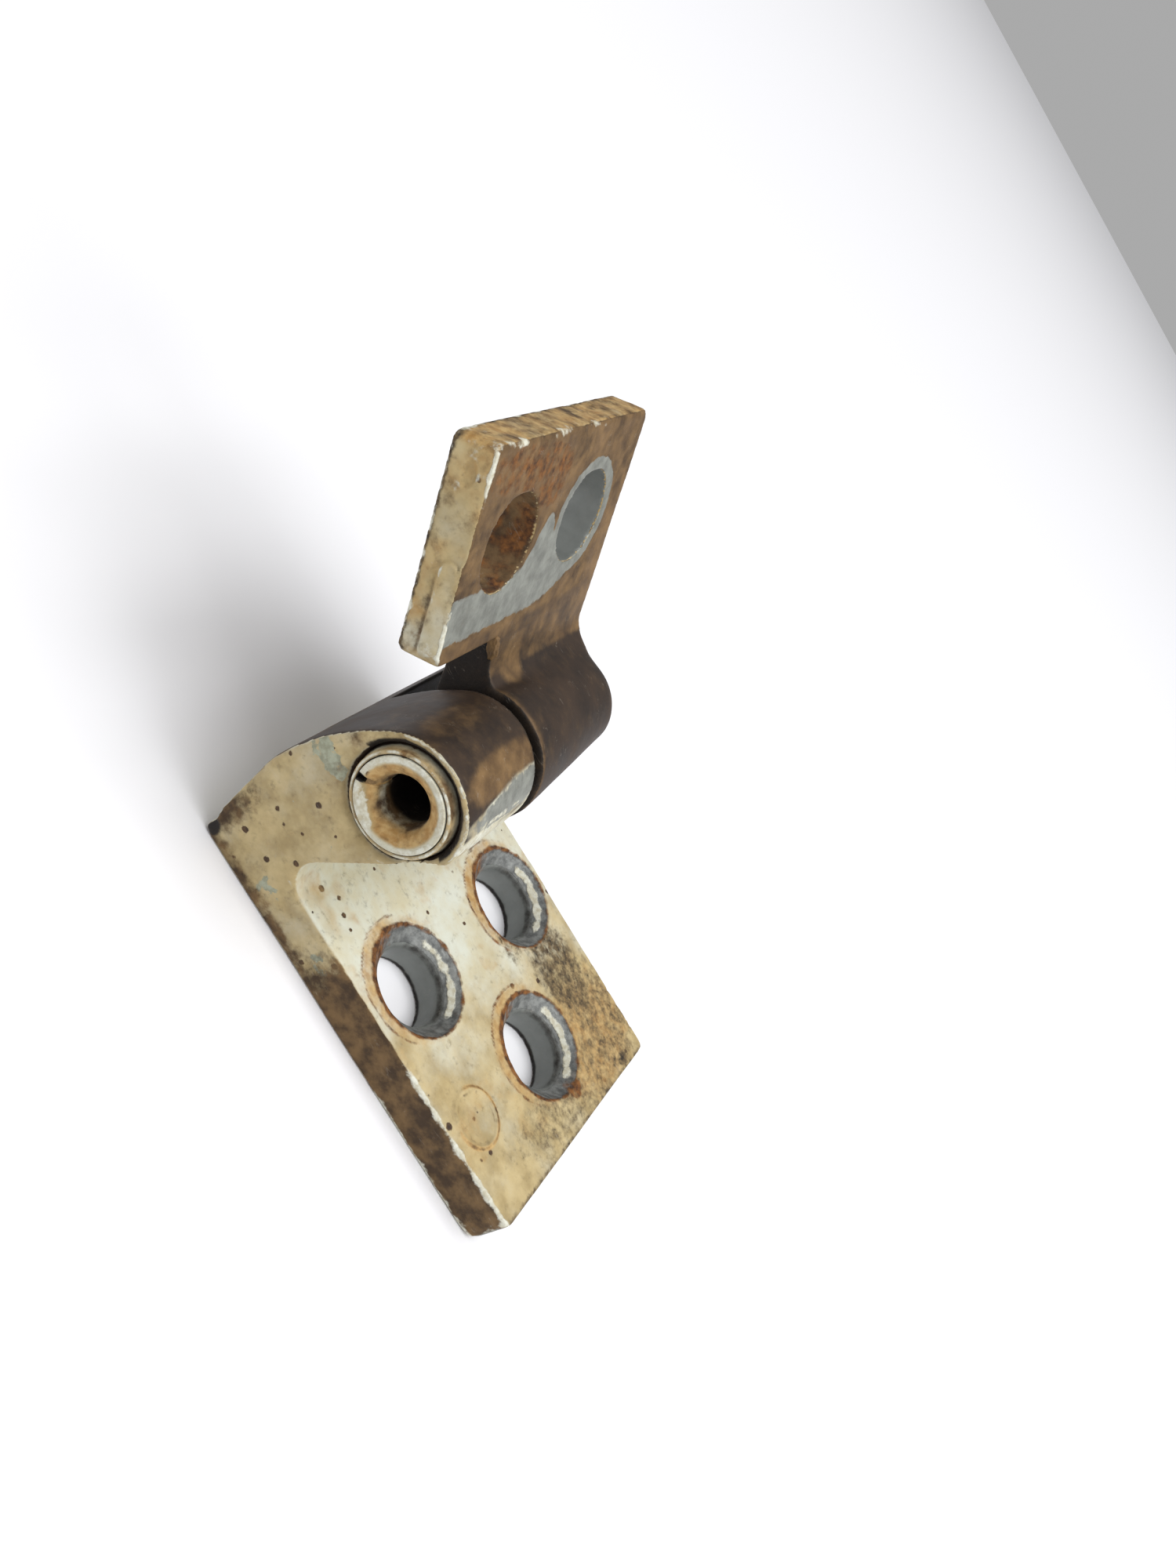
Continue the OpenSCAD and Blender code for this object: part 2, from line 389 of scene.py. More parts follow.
class WornMaterial:
    """Builds a piece's material by laying finishes over each other with ragged masks."""

    def __init__(self, name: str, palette: Palette, effects: Effects) -> None:
        """Starts the material.

        Args:
            name: the material's name.
            palette: the finishes to lay.
            effects: the shared shader groups.
        """
        self.palette = palette
        self.effects = effects
        self.material = bpy.data.materials.new(name)
        self.material.use_nodes = True
        self.n = Nodes(self.material.node_tree)

    def build(self) -> bpy.types.Material:
        """Lays the paint and every coat, in the palette's order.

        Returns:
            The material, which reads Object coordinates and the piece's coat attributes.
        """
        n = self.n
        metres = n.add("TexCoord", {}).outputs["Object"]
        scaled = n.add("VectorMath", {0: metres, "Scale": 1.0 / MM}, operation="SCALE")
        self.place = scaled.outputs[0]
        self._lay_paint()
        for seed, (coat, finish) in enumerate(self.palette.coats.items(), FIRST_COAT):
            edge = (finish.ragged_size, finish.ragged, finish.softness)
            self._lay(finish, self._mask(coat, edge, float(seed)), seed)
        if self.palette.scratched:
            self._scratch()
        self._finish_off()
        return self.material

    def _mask(self, coat: Coat, edge: Triple, seed: float) -> Socket:
        """Where a coat lies.

        Args:
            coat: the coat.
            edge: how large, how ragged and how soft the lumps of its outline are.
            seed: picks their pattern.

        Returns:
            The mask.
        """
        amount = self.n.add("Attribute", {}, attribute_name=coat.value).outputs["Fac"]
        return self.n.call(
            self.effects.ragged, Vector=self.place, Spread=amount, Size=edge[0],
            Raggedness=edge[1], Softness=edge[2], Seed=seed,
        )

    def _tones(self, finish: Finish, seed: int) -> tuple[Socket, Socket, Socket]:
        """Varies a finish over the surface.

        Args:
            finish: the finish.
            seed: picks its pattern.

        Returns:
            Its colour, roughness and height.
        """
        n = self.n
        tone = n.call(
            self.effects.mottle, Vector=self.place, Size=finish.patch,
            Contrast=finish.contrast, Seed=seed + 0.5,
        )
        fine = n.noise(n.shift(self.place, seed + 0.2), finish.grain_size, 4.0)
        colour = n.mix(tone, finish.dark, finish.light)
        rough = n.maths("ADD", finish.roughness, n.maths("MULTIPLY", tone, 0.12))
        height = n.maths("ADD", n.maths("MULTIPLY", fine, finish.grain), finish.relief)
        return colour, rough, height

    def _lay_paint(self) -> None:
        """Lays the paint, clean to aged by its tint, with specks where it has chipped."""
        n, palette = self.n, self.palette
        aging = self._mask(Coat.TINT, palette.aging_edge, AGING_SEED)
        clean = self._tones(palette.clean, CLEAN_TONES)
        aged = self._tones(palette.aged, AGED_TONES)
        self.colour = n.mix(aging, clean[0], aged[0])
        self.rough = n.mix_value(aging, clean[1], aged[1])
        self.height = n.mix_value(aging, clean[2], aged[2])
        self.metal = None
        if palette.speck:
            mask = n.call(
                self.effects.specks, Vector=self.place, Spacing=palette.speck_spacing,
                Largest=palette.speck_largest, Seed=SPECK_SEED,
            )
            self._lay(palette.speck, mask, SPECK_TONES)

    def _lay(self, finish: Finish, mask: Socket, seed: int) -> None:
        """Lays one finish over what is there so far.

        Args:
            finish: the finish.
            mask: where it lies.
            seed: picks its pattern.
        """
        n = self.n
        colour, rough, height = self._tones(finish, seed)
        self.colour = n.mix(mask, self.colour, colour)
        self.rough = n.mix_value(mask, self.rough, rough)
        self.height = n.mix_value(mask, self.height, height)
        if self.metal is not None or finish.metallic:
            self.metal = n.mix_value(mask, self.metal or 0.0, finish.metallic)

    def _scratch(self) -> None:
        """Draws fine pale scratches over everything."""
        n, palette = self.n, self.palette
        mask = n.call(
            self.effects.scratches, Vector=self.place, Length=palette.scratch_length,
            Spacing=palette.scratch_spacing, Seed=SCRATCH_SEED,
        )
        mask = n.maths("MULTIPLY", mask, palette.scratched)
        self.colour = n.mix(mask, self.colour, palette.scratch_tone)

    def _finish_off(self) -> None:
        """Feeds the shader."""
        n, shader = self.n, self.material.node_tree.nodes["Principled BSDF"]
        n.feed(shader.inputs["Base Color"], self.colour)
        n.feed(shader.inputs["Roughness"], self.rough)
        shader.inputs["Specular IOR Level"].default_value = self.palette.gloss
        if self.metal is not None:
            n.feed(shader.inputs["Metallic"], self.metal)
        bump = n.add("Bump", {"Distance": MM, "Strength": 1.0, "Height": self.height})
        n.feed(shader.inputs["Normal"], bump.outputs[0])


# -------- the palettes

PAINT = Finish((0.66, 0.675, 0.58), (0.60, 0.55, 0.38), 0.50, patch=5.0, contrast=2.2, grain=0.02)
AGED_PAINT = Finish((0.55, 0.435, 0.225), (0.36, 0.27, 0.125), 0.55, patch=4.5, grain=0.03)
CHIP = Finish((0.12, 0.07, 0.035), (0.04, 0.025, 0.018), 0.7, patch=0.6, relief=-0.03)
# Brown grime, also laid as painted shade round the knuckle, in grooves and in inner corners.
GRIME_AND_SHADE = Finish(
    (0.200, 0.122, 0.054), (0.056, 0.032, 0.015), 0.70, patch=3.0, contrast=3.0,
    grain=0.08, grain_size=0.8, ragged=1.3, ragged_size=2.6, softness=0.20,
)
STAIN = Finish(
    (0.56, 0.38, 0.16), (0.38, 0.21, 0.065), 0.55, patch=1.4, ragged=0.9,
    ragged_size=2.6, softness=0.35, relief=0.002,
)
SOOT = Finish(
    (0.160, 0.112, 0.058), (0.036, 0.028, 0.020), 0.8, patch=0.9, grain=0.08,
    grain_size=0.4, ragged=1.9, ragged_size=1.1, softness=0.46, relief=0.01,
)
RUST = Finish(
    (0.25, 0.105, 0.030), (0.050, 0.022, 0.012), 0.82, patch=1.2, contrast=2.6,
    grain=0.10, grain_size=0.45, ragged=1.1, ragged_size=1.9, softness=0.20, relief=0.03,
)
BARE_STEEL = Finish(
    (0.36, 0.37, 0.33), (0.19, 0.195, 0.17), 0.42, metallic=0.5, patch=2.2, contrast=2.0,
    grain=0.06, grain_size=0.6, ragged=1.2, ragged_size=1.6, softness=0.13, relief=-0.03,
)
GREASE = Finish(
    (0.048, 0.029, 0.018), (0.016, 0.010, 0.007), 0.50, patch=7.0, contrast=1.9,
    grain=0.015, grain_size=1.2, ragged=0.7, ragged_size=4.0, softness=0.25, relief=0.02,
)
# Worn golden brown, also laid as a painted sheen spot on the rear knuckle.
WORN_GOLD_AND_SHEEN = Finish(
    (0.28, 0.168, 0.070), (0.090, 0.050, 0.022), 0.48, metallic=0.15, patch=3.6,
    contrast=1.6, grain=0.05, grain_size=0.5, ragged=0.9, ragged_size=2.2, softness=0.48,
)
COUNTERSUNK = Finish(
    (0.30, 0.31, 0.30), (0.115, 0.12, 0.118), 0.46, metallic=0.45, patch=1.3, contrast=2.4,
    grain=0.08, grain_size=0.5, ragged=0.9, ragged_size=1.2, softness=0.07, relief=-0.04,
)
BORED = Finish(
    (0.27, 0.285, 0.27), (0.185, 0.195, 0.185), 0.40, metallic=0.35, patch=5.0, contrast=1.6,
    grain=0.015, grain_size=0.8, ragged=0.6, ragged_size=1.4, softness=0.08, relief=-0.04,
)
PRIMER = Finish(
    (0.42, 0.44, 0.33), (0.27, 0.275, 0.19), 0.6, patch=1.2, grain=0.05,
    grain_size=0.5, ragged=1.8, ragged_size=1.6, softness=0.06, relief=-0.02,
)
# Chalky pale paint, also laid as a painted highlight on the front knuckle's lip.
CHALK_AND_HIGHLIGHT = Finish(
    (0.74, 0.74, 0.64), (0.54, 0.50, 0.37), 0.62, patch=0.9, grain=0.08,
    grain_size=0.5, ragged=1.4, ragged_size=2.0, softness=0.13, relief=0.05,
)
# Near-black coat: painted shade in bores, the pin's slit, grooves and gaps between parts, and a
# few dark marks.
DARK_AND_SHADE = Finish(
    (0.022, 0.016, 0.012), (0.009, 0.007, 0.006), 0.55, patch=3.0, grain=0.05,
    ragged=0.8, ragged_size=1.6, softness=0.35,
)
WORN = Palette(
    PAINT,
    AGED_PAINT,
    {
        Coat.STAIN: STAIN,
        Coat.PRIMER: PRIMER,
        Coat.SOOT: SOOT,
        Coat.GRIME_AND_SHADE: GRIME_AND_SHADE,
        Coat.BARE: BARE_STEEL,
        Coat.CONE: COUNTERSUNK,
        Coat.BORE: BORED,
        Coat.GREASE: GREASE,
        Coat.GOLD_AND_SHEEN: WORN_GOLD_AND_SHEEN,
        Coat.RUST: RUST,
        Coat.CHALK_AND_HIGHLIGHT: CHALK_AND_HIGHLIGHT,
        Coat.DARK_AND_SHADE: DARK_AND_SHADE,
    },
    speck=CHIP,
    scratched=0.28,
)


# -------- pieces and their coats


class Coats:
    """A piece's vertices, and how much of every coat lies on each."""

    def __init__(self, mesh: Mesh) -> None:
        """Starts bare.

        Args:
            mesh: the piece's finished mesh.
        """
        self.mesh = mesh
        self.points, self.normals = surface(mesh)
        self.x, self.y, self.z = self.points.T
        self.reach = np.hypot(self.x, self.z - AXIS_HEIGHT)
        self.turn = np.degrees(np.arctan2(self.z - AXIS_HEIGHT, self.x))
        self.amounts = {coat: np.zeros(len(self.points)) for coat in Coat}

    def lay(self, **amounts: Array) -> None:
        """Lays coats, each named by its value, wherever there is less of them."""
        for name, amount in amounts.items():
            self.amounts[Coat(name)] = np.maximum(self.amounts[Coat(name)], amount)

    def thin(self, coat: Coat, part: Array) -> None:
        """Wears a coat away by a part from 0 to 1."""
        self.amounts[coat] *= 1.0 - part

    def lay_stains(
        self, stains: dict[Coat, Sequence[Stain]], u: Array, v: Array, region: Array
    ) -> None:
        """Lays rounded stains within a region.

        Args:
            stains: the stains of each coat.
            u: the coordinate that their first numbers measure.
            v: the coordinate that their second numbers measure.
            region: the region, from 0 to 1.
        """
        for coat, group in stains.items():
            for stain in group:
                self.lay(**{coat.value: summed((stain,), u, v) * region})

    def write(self) -> None:
        """Stores the coats as the mesh's own attributes."""
        for coat, amount in self.amounts.items():
            layer = self.mesh.attributes.new(coat.value, "FLOAT", "POINT")
            layer.data.foreach_set("value", np.clip(amount, 0.0, 1.0).astype(np.float32))


def add_object(name: str, shape: BMesh) -> Object:
    """Turns a bmesh into an object of the scene, and frees it.

    Args:
        name: the object's name.
        shape: what it is made of, in metres.

    Returns:
        The object.
    """
    mesh = bpy.data.meshes.new(name)
    shape.to_mesh(mesh)
    shape.free()
    made = bpy.data.objects.new(name, mesh)
    bpy.context.scene.collection.objects.link(made)
    return made


@dataclass
class Piece:
    """One visible piece: its node, or its own name if it has none, its body and its slot."""

    node: str
    body: str
    slot: str

    def shape(self) -> Object:
        """Makes the piece's object and mesh."""
        raise NotImplementedError

    def coats(self, mesh: Mesh) -> Coats:
        """Bare coats on the finished mesh."""
        return Coats(mesh)

    def dress(self, coats: Coats) -> None:
        """Lays the piece's coats."""
        raise NotImplementedError

    def build(self, palette: Palette, effects: Effects) -> None:
        """Makes the piece, coats it and hands it to the frame.

        Args:
            palette: its finishes.
            effects: the shared shader groups.
        """
        piece = self.shape()
        coats = self.coats(piece.data)
        self.dress(coats)
        coats.write()
        material = WornMaterial(self.node + "_finish", palette, effects).build()
        piece.data.materials.append(material)
        piece.data.shade_smooth()
        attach(piece, self.body)
        if self.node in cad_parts:
            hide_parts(self.node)
        log.info("%s: %d faces", piece.name, len(piece.data.polygons))


# -------- the castings


def smooth(shape: BMesh, verts: Sequence[bmesh.types.BMVert]) -> None:
    """Moves vertices half-way to the middle of their neighbours."""
    axes = {"use_axis_x": True, "use_axis_y": True, "use_axis_z": True}
    bmesh.ops.smooth_vert(shape, verts=verts, factor=0.5, **axes)


@dataclass
class Casting(Piece):
    """A leaf: a copy of its solid, re-skinned finely, with worn edges and dents."""

    skin: float
    worn_rounds: int
    hole_rounds: int = 2
    blend_rounds: int = 90
    merge_within: float = 0.002

    def near_hole(self, at: Vector) -> bool:
        """True close to a hole's rim, where edges stay crisp."""
        raise NotImplementedError

    def fine_zone(self, at: Vector) -> int:
        """How many times the skin is halved at a place."""
        raise NotImplementedError

    def blend(self, at: Vector) -> float:
        """How far the solid's ledge is worn to a flowing curve, from 0 to 1."""
        return 0.0

    def relief(self, points: Array, normals: Array) -> Array:
        """How far each vertex moves along its normal, in millimetres."""
        raise NotImplementedError

    def shape(self) -> Object:
        """Skins the solid, wears its edges, then roughens it inside the solid's own box.

        Returns:
            The piece's object.
        """
        piece = self._skin()
        mesh = piece.data
        self._refine_and_wear(mesh)
        points, normals = surface(mesh)
        points = points + normals * self.relief(points, normals)[:, None]
        low, high = (np.array(c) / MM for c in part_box(self.node))
        points = np.clip(points, low, high)
        mesh.vertices.foreach_set("co", (points * MM).astype(np.float32).ravel())
        mesh.update()
        return piece

    def _skin(self) -> Object:
        """Lays an even skin of small quads over a merged copy of the solid.

        Returns:
            The skin's object.
        """
        solid = bmesh.new()
        solid.from_mesh(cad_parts[self.node].data)
        bmesh.ops.remove_doubles(solid, verts=solid.verts, dist=self.merge_within * MM)
        bmesh.ops.recalc_face_normals(solid, faces=solid.faces)
        piece = add_object(self.node + "_casting", solid)
        remesh = piece.modifiers.new("skin", "REMESH")
        remesh.mode = "VOXEL"
        remesh.voxel_size = self.skin * MM
        graph = bpy.context.evaluated_depsgraph_get()
        piece.data = bpy.data.meshes.new_from_object(piece.evaluated_get(graph))
        piece.modifiers.clear()
        return piece

    def _refine_and_wear(self, mesh: Mesh) -> None:
        """Halves the skin where fine shapes come, and rounds every edge by wear.

        Args:
            mesh: the skin, which changes.
        """
        shape = bmesh.new()
        shape.from_mesh(mesh)
        for level in (1, 2):
            chosen = {
                edge
                for face in shape.faces
                if self.fine_zone(face.calc_center_median() / MM) >= level
                for edge in face.edges
            }
            if chosen:
                bmesh.ops.subdivide_edges(shape, edges=list(chosen), cuts=1, use_grid_fill=True)
        worn = [v for v in shape.verts if not self.near_hole(v.co / MM)]
        for count in range(self.worn_rounds):
            smooth(shape, shape.verts[:] if count < self.hole_rounds else worn)
        blended = [(v, self.blend(v.co / MM) * self.blend_rounds) for v in shape.verts]
        for count in range(self.blend_rounds):
            blended = [(v, rounds) for v, rounds in blended if rounds > count]
            if blended:
                smooth(shape, [v for v, _ in blended])
        shape.to_mesh(mesh)
        shape.free()


# Along and across the leaf.
YELLOWED = (
    Stain(0.40, (50, 16), (12, 12)),
    Stain(0.35, (7.0, -22.5), (4, 2)),
    Stain(0.22, (30, -22), (14, 3)),
    Stain(0.20, (20, 24), (12, 3)),
)
PITTED = (Stain(1.0, (46.0, 20.0), (9.0, 7.0)), Stain(1.0, (53.0, 8.0), (5.0, 16.0)))
FACE_STAINS = {
    Coat.RUST: (Stain(0.62, (51.8, 3.4), (1.8, 2.0)),),
    Coat.STAIN: (Stain(0.26, (47, 14), (12, 12)), Stain(0.60, (48, 13), (9, 14))),
    Coat.SOOT: (
        Stain(0.70, (37.0, 16.0), (9.5, 5.8)),
        Stain(0.45, (47, 18), (12, 8)),
        Stain(0.40, (52, 5), (5.5, 18)),
        Stain(0.42, (27.5, 8.4), (4.5, 2.2)),
        Stain(0.85, (55.2, 18), (1.1, 1.6)),
    ),
}
# Along the leaf and up its near end.
END_STAINS = {
    Coat.PRIMER: (
        Stain(0.72, (-10.5, 24.6), (4.6, 1.7)),
        Stain(0.40, (0.4, 4.5), (1.6, 2.4)),
        Stain(0.42, (13.2, 4.4), (2.0, 1.5)),
    ),
}
# Degrees round the front knuckle, and along it.
RUBBED_BARE = (Stain(1.0, (44, -9.5), (18, 9)), Stain(0.75, (40, -18), (12, 7)))
SMEARED = (Stain(1.0, (24, -20.5), (9, 5.5)),)
KNUCKLE_GOLD = {Coat.GOLD_AND_SHEEN: (Stain(1.0, (69, -13.5), (18, 10)), Stain(0.30, (128, -17), (16, 7)))}
KNUCKLE_CHALK = {Coat.CHALK_AND_HIGHLIGHT: (Stain(0.50, (34, -15), (3.5, 7)),)}


@dataclass
class BodyLeaf(Casting):
    """The thick painted leaf with three countersunk holes and the front knuckle."""

    face_z: float = 7.6
    front_y: float = -25.0
    knuckle_r: float = 9.45
    hole_r: float = 5.9
    sink_r: float = 8.4
    holes: tuple[Pair, ...] = ((23.1, -13.2), (23.1, 15.6), (43.1, 2.1))
    ring_at: Pair = (42.8, -18.5)
    ring_r: float = 4.1
    ring_high: float = 0.2

    def near_hole(self, at: Vector) -> bool:
        """True close to a countersunk hole."""
        return at.z < 9 and any(math.hypot(at.x - x, at.y - y) < 9.6 for x, y in self.holes)

    def fine_zone(self, at: Vector) -> int:
        """Twice at the casting ring and once at the countersinks' rims.

        Args:
            at: a place in millimetres.

        Returns:
            How many times the skin is halved there.
        """
        if at.z < self.face_z - 0.6 or at.z > self.face_z + 0.8:
            return 0
        ring = abs(math.hypot(at.x - self.ring_at[0], at.y - self.ring_at[1]) - self.ring_r)
        if ring < 0.75:
            return 2
        rim = min(abs(math.hypot(at.x - x, at.y - y) - self.sink_r) for x, y in self.holes)
        return 1 if ring < 1.3 or rim < 1.0 else 0

    def relief(self, points: Array, normals: Array) -> Array:
        """Casting unevenness, the flaked rims, pits in the worn corner and the plain ring.

        Args:
            points: the skin's vertices in millimetres.
            normals: their normals.

        Returns:
            How far each moves outwards.
        """
        x, y, z = points.T
        face = ease(0.6, 0.9, normals[:, 2]) * ease(9.0, 8.4, z) * ease(6.8, 7.2, z)
        middle = turbulence(points, 2.2, 3, 2)
        move = 0.05 * turbulence(points, 9.0, 2, 1) + 0.018 * middle - 0.03
        ring = np.hypot(x - self.ring_at[0], y - self.ring_at[1])
        flat = face * ease(5.6, 5.0, ring)
        move = move * (1 - flat) + flat * (self.face_z - 0.03 - z)
        height = self.ring_high * bell(self.ring_r, 0.42, ring) * (1 + 0.35 * middle)
        move += flat * height
        for hx, hy in self.holes:
            flaked = bell(self.sink_r + 0.35, 0.4, np.hypot(x - hx, y - hy)) * face
            move += flaked * (0.05 + 0.16 * middle)
        pits = np.minimum(turbulence(points, 1.1, 2, 3) + 0.1, 0.0)
        move += 0.22 * pits * np.clip(summed(PITTED, x, y), 0, 1) * face
        edge = ease(2.4, 0.0, np.abs(z)) + ease(2.0, 0.0, np.abs(y - self.front_y))
        move -= 0.16 * np.clip(edge, 0, 1) * np.maximum(middle - 0.15, 0.0)
        return move

    def coats(self, mesh: Mesh) -> Coats:
        """Bare coats with the leaf's regions."""
        return BodyCoats(mesh, self)

    def dress(self, coats: Coats) -> None:
        """Paint on the leaf, rust at the holes, grease on the knuckle, grime on the edge."""
        coats.lay_all()


class BodyCoats(Coats):
    """The body leaf's coats, with each of its regions as a mask from 0 to 1."""

    def __init__(self, mesh: Mesh, leaf: BodyLeaf) -> None:
        """Finds the regions.

        Args:
            mesh: the finished skin.
            leaf: the leaf, for its sizes.
        """
        super().__init__(mesh)
        self.leaf = leaf
        x, y, z = self.points.T
        nx, ny, nz = self.normals.T
        bend = bend_of(mesh, self.points, self.normals)
        self.edge, self.corner = np.maximum(bend, 0), np.maximum(-bend, 0)
        self.face = ease(0.45, 0.8, nz) * ease(10.0, 9.0, z)
        self.front = ease(-0.45, -0.8, ny) * ease(-22.0, -24.0, y)
        self.strip = self.front * ease(8.2, 7.4, z) * ease(9.0, 15.0, x)
        self.web_end = self.front * (1 - ease(8.2, 7.4, z) * ease(6.0, 9.0, x))
        self.barrel = ease(1.6, 0.6, np.abs(self.reach - leaf.knuckle_r))
        self.barrel *= ease(-0.7, -0.4, ny) * ease(-4.5, -6.2, y)
        self.back = ease(0.1, -0.35, nx) * ease(-0.6, -0.4, ny) * ease(4.0, 14.0, z)
        self.pocket = ease(-7.5, -6.0, y) * ease(9.5, 12.0, z)
        self.under = ease(-0.6, -0.9, nz) * ease(1.0, 0.2, z)

    def lay_all(self) -> None:
        """Lays every coat."""
        self.age_paint()
        for hole in self.leaf.holes:
            self.wear_hole(*hole)
        self.soil_face()
        self.soil_near_end()
        self.grease_knuckle()
        self.mark_mouth()

    def age_paint(self) -> None:
        """Yellows and clouds the paint, dirties the underside and bares the leaf's tip."""
        x, y, z, face, front, under = self.x, self.y, self.z, self.face, self.front, self.under
        _, ny, nz = self.normals.T
        cloud = turbulence(self.points, 7.0, 3, 9)
        tint = 0.10 + 0.58 * ease(19, 38, x) + 0.16 * ease(44, 56, x) + 0.16 * cloud
        tint += summed(YELLOWED, x, y)
        end_tint = 0.80 + 0.12 * cloud - 0.25 * ease(12, 3, x) * self.strip
        tint = tint * (1 - front) + front * end_tint
        self.lay(tint=tint + 0.25 * ease(0.3, -0.3, nz) * (1 - front))
        self.lay(stain=0.34 * ease(0.1, 0.5, cloud) * face)
        self.lay(rust=0.25 * self.edge * ease(0.5, -0.2, nz))
        self.lay(rust=0.46 * under, grime=0.55 * under)
        tip = ease(55.6, 56.6, x) * ease(6.9, 5.6, z) * (1 - under)
        self.lay(bare=0.62 * tip, soot=0.58 * tip)
        self.lay(soot=0.62 * ease(55.7, 56.6, x))
        self.lay(soot=0.20 * ease(0.5, 0.9, ny) * ease(23.5, 24.5, y))

    def wear_hole(self, hx: float, hy: float) -> None:
        """Bares a countersink, rusts its rim and stains the paint round it, with painted shadow
        low in the hole and painted shade along the bore's top rim.

        Args:
            hx: the hole's place along the leaf.
            hy: its place across the leaf.
        """
        hole_r, sink_r = self.leaf.hole_r, self.leaf.sink_r
        x, y, z, face, level = self.x - hx, self.y - hy, self.z, self.face, self.normals[:, 2]
        away = np.hypot(x, y)
        rusty = (x * -0.55 + y * -0.83) / np.maximum(away, 0.1)
        pale = (x * 0.38 + y * 0.92) / np.maximum(away, 0.1)
        head_print = np.hypot(x + 0.75, y + 1.05)
        halo = ease(10.6, 9.0, head_print) * ease(8.0, 8.8, away) * face
        self.lay(stain=halo * (0.42 + 0.26 * rusty))
        self.lay(stain=ease(14.5, 8.8, away) * face * (0.26 + 0.10 * rusty))
        outline = bell(9.55, 0.42, head_print) * face
        self.lay(rust=0.56 * outline * ease(-0.25, 0.6, rusty))
        more = np.maximum(rusty, 0)
        rim = bell(sink_r + 0.25 * more, 0.42 + 0.40 * more, away) * ease(6.6, 7.2, z)
        self.lay(rust=rim * (0.66 + 0.14 * rusty))
        below = ease(8.6, 7.6, z)
        inside = ease(sink_r + 0.15, sink_r - 0.25, away)
        cone = inside * below * ease(0.12, 0.35, level)
        self.lay(cone=cone * (0.95 - 0.30 * ease(0.3, 0.9, rusty)))
        cone = inside * below * ease(0.05, 0.2, level)
        self.lay(rust=0.56 * cone * ease(0.15, 0.75, rusty))
        self.lay(bore=ease(hole_r + 0.7, hole_r + 0.3, away) * below)
        # Painted shadow: a near-black band low on the hole's wall, where the leaf meets the floor.
        self.lay(pitch=0.9 * inside * ease(1.3, 0.5, z) * (1 - self.under))
        sliver = bell(hole_r + 1.25, 0.55, away) * ease(4.4, 5.0, z)
        self.lay(chalk=0.78 * sliver * ease(0.35, 0.8, pale))
        # Painted shade: a dark line along the bore's top rim, on its pale side.
        ridge = bell(hole_r + 0.25, 0.45, away) * ease(4.0, 5.0, z)
        self.lay(pitch=0.62 * ridge * ease(-0.1, 0.5, pale))

    def soil_face(self) -> None:
        """Stains the worn corner, draws the casting ring and chips the near edge."""
        x, y, face, leaf = self.x, self.y, self.face, self.leaf
        self.lay_stains(FACE_STAINS, x, y, face)
        dx, dy = x - leaf.ring_at[0], y - leaf.ring_at[1]
        open_side = (dx * -0.79 + dy * -0.61) / leaf.ring_r
        drawn = bell(leaf.ring_r + 0.3, 0.42, np.hypot(dx, dy)) * ease(0.95, 0.55, open_side)
        self.lay(stain=0.85 * drawn * face, grime=0.50 * drawn * face)
        # Grime and painted shade: the face darkened in its inner corners.
        self.lay(grime=0.42 * self.corner * face)
        self.lay(chalk=0.46 * self.edge * ease(26, 34, x) * ease(-23.6, -24.6, y))

    def soil_near_end(self) -> None:
        """Dirties the near edge and web's foot, paints shade round the knuckle, bares primer where
        paint is off.
        """
        x, z, front, strip, web_end = self.x, self.z, self.front, self.strip, self.web_end
        self.lay(grime=strip * (0.92 - 0.50 * ease(19, 11, x)))
        self.lay(soot=strip * (0.30 + 0.14 * ease(32, 16, x)))
        foot = np.maximum(ease(-6.0, -10.5, x), ease(4.5, 0.6, z)) * front * ease(17, 5, z)
        self.lay(grime=0.66 * foot, soot=0.62 * foot * ease(4.5, 0.5, np.abs(x + 10.5)))
        # Painted shade: the web's end darkened close round the knuckle, on the side away from the
        # plate.
        self.lay(grime=0.34 * web_end * ease(14, 9.5, self.reach) * ease(2, -4, x))
        self.lay(grime=0.16 * web_end)
        self.lay(pitch=0.9 * front * ease(2.0, 1.0, np.hypot(x + 10.2, z - 1.4)))
        self.lay_stains(END_STAINS, x, z, front)
        self.lay(primer=0.10 * web_end, stain=0.16 * web_end)
        self.lay(chalk=0.34 * web_end * bell(7.9, 0.7, z) * ease(-1.5, 1.5, x))

    def grease_knuckle(self) -> None:
        """Greases the knuckle and the web's back, worn to gold, bare metal and old paint."""
        y, z, turn, barrel, back = self.y, self.z, self.turn, self.barrel, self.back
        self.lay(grease=barrel * ease(16, 30, turn))
        self.lay(grease=back * ease(14, 24, z) * 0.9)
        self.lay(grease=self.pocket)
        self.lay(grease=ease(9.2, 8.9, self.reach) * ease(-25.2, -24.4, y) * (z > 9))
        self.lay(grime=0.75 * back)
        metal = np.clip(summed(RUBBED_BARE, turn, y), 0, 1) * barrel
        smear = summed(SMEARED, turn, y) * barrel
        for worn in (self.front, 0.85 * metal, 0.8 * smear):
            self.thin(Coat.GREASE, worn)
        self.lay(gold=0.14 * barrel)
        self.lay_stains(KNUCKLE_GOLD, turn, y, barrel)
        self.lay(gold=0.42 * back * ease(26, 16, z))
        self.thin(Coat.GOLD_AND_SHEEN, metal)
        self.lay(bare=0.72 * metal, chalk=0.58 * smear)
        self.lay_stains(KNUCKLE_CHALK, turn, y, barrel)

    def mark_mouth(self) -> None:
        """Pales the lip with paint and a painted highlight, and paints shade in the bush's groove
        and the pocket.
        """
        x, y, z, reach, front = self.x, self.y, self.z, self.reach, self.front
